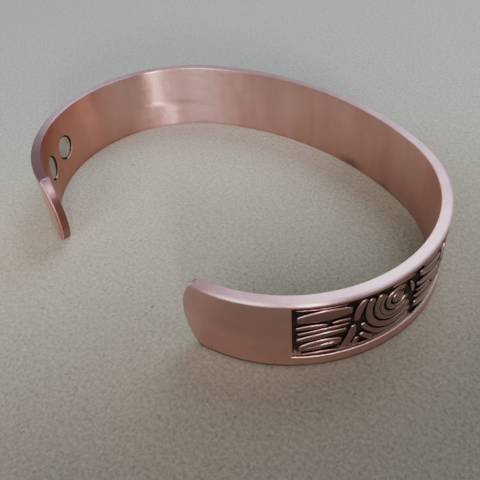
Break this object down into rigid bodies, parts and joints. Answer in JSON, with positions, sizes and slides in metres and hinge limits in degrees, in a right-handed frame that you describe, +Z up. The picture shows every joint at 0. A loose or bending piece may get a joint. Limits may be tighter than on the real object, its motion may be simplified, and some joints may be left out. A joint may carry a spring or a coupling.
{
  "type": "magnetic bracelet",
  "caption": "Open oval cuff bracelet in tarnished copper, with a sunk band of raised blades and waves round the outside and disc magnets let into the inside of its ends.",
  "frame": {"origin": "under the middle of the bounding box, on the surface that the bracelet rests on", "axes": "+X along the long way of the oval, the opening between the ends faces -Y, +Z up across the height of the strip"},
  "size_m": [0.0692, 0.0474, 0.012],
  "materials": {
    "copper": "satin copper, tarnished brown, dark in the sunk panel",
    "magnet": "dull nickel plating"
  },
  "bodies": {
    "root": {"band": "copper", "magnet_right_1": "magnet", "magnet_right_2": "magnet", "magnet_right_3": "magnet", "magnet_left_1": "magnet", "magnet_left_2": "magnet", "magnet_left_3": "magnet"}
  },
  "joints": []
}
